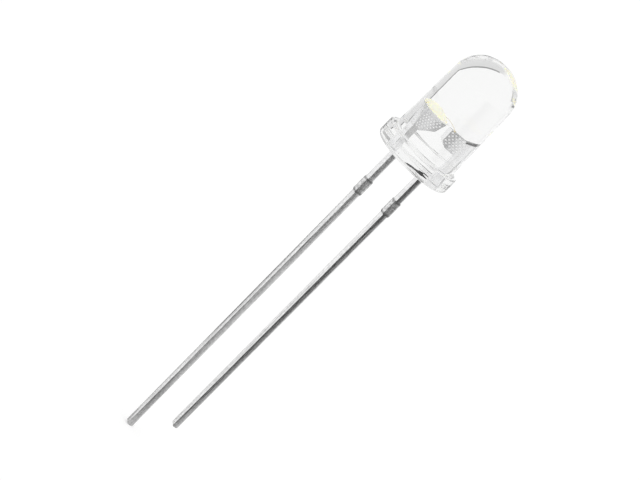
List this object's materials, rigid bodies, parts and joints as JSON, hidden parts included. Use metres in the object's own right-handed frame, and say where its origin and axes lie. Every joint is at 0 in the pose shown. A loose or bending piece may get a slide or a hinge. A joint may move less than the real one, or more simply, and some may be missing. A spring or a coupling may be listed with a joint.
{
  "type": "through hole led",
  "caption": "Round through hole LED with a clear domed epoxy lens and flange, square tinned leads and a phosphor-filled reflector cup.",
  "frame": {"origin": "middle of the flange's underside, on the lens axis and midway between the leads", "axes": "+Z along the lens axis to the dome; +X from the long anode lead to the short cathode lead; +Y across the frame"},
  "size_m": [0.0055, 0.0058, 0.0357],
  "materials": {
    "clear_epoxy": "water-clear cast epoxy, polished",
    "tinned_steel": "bright hot-dip tin over steel",
    "die_adhesive": "cured adhesive",
    "chip": "polished semiconductor die",
    "phosphor": "yellow phosphor in clear resin",
    "gold_wire": "drawn gold"
  },
  "bodies": {
    "root": {"epoxy_lens": "clear_epoxy", "anode_lead": "tinned_steel", "cathode_lead": "tinned_steel", "die_attach": "die_adhesive", "led_chip": "chip", "phosphor_fill": "phosphor", "anode_bond_wire": "gold_wire", "cathode_bond_wire": "gold_wire"}
  },
  "joints": []
}
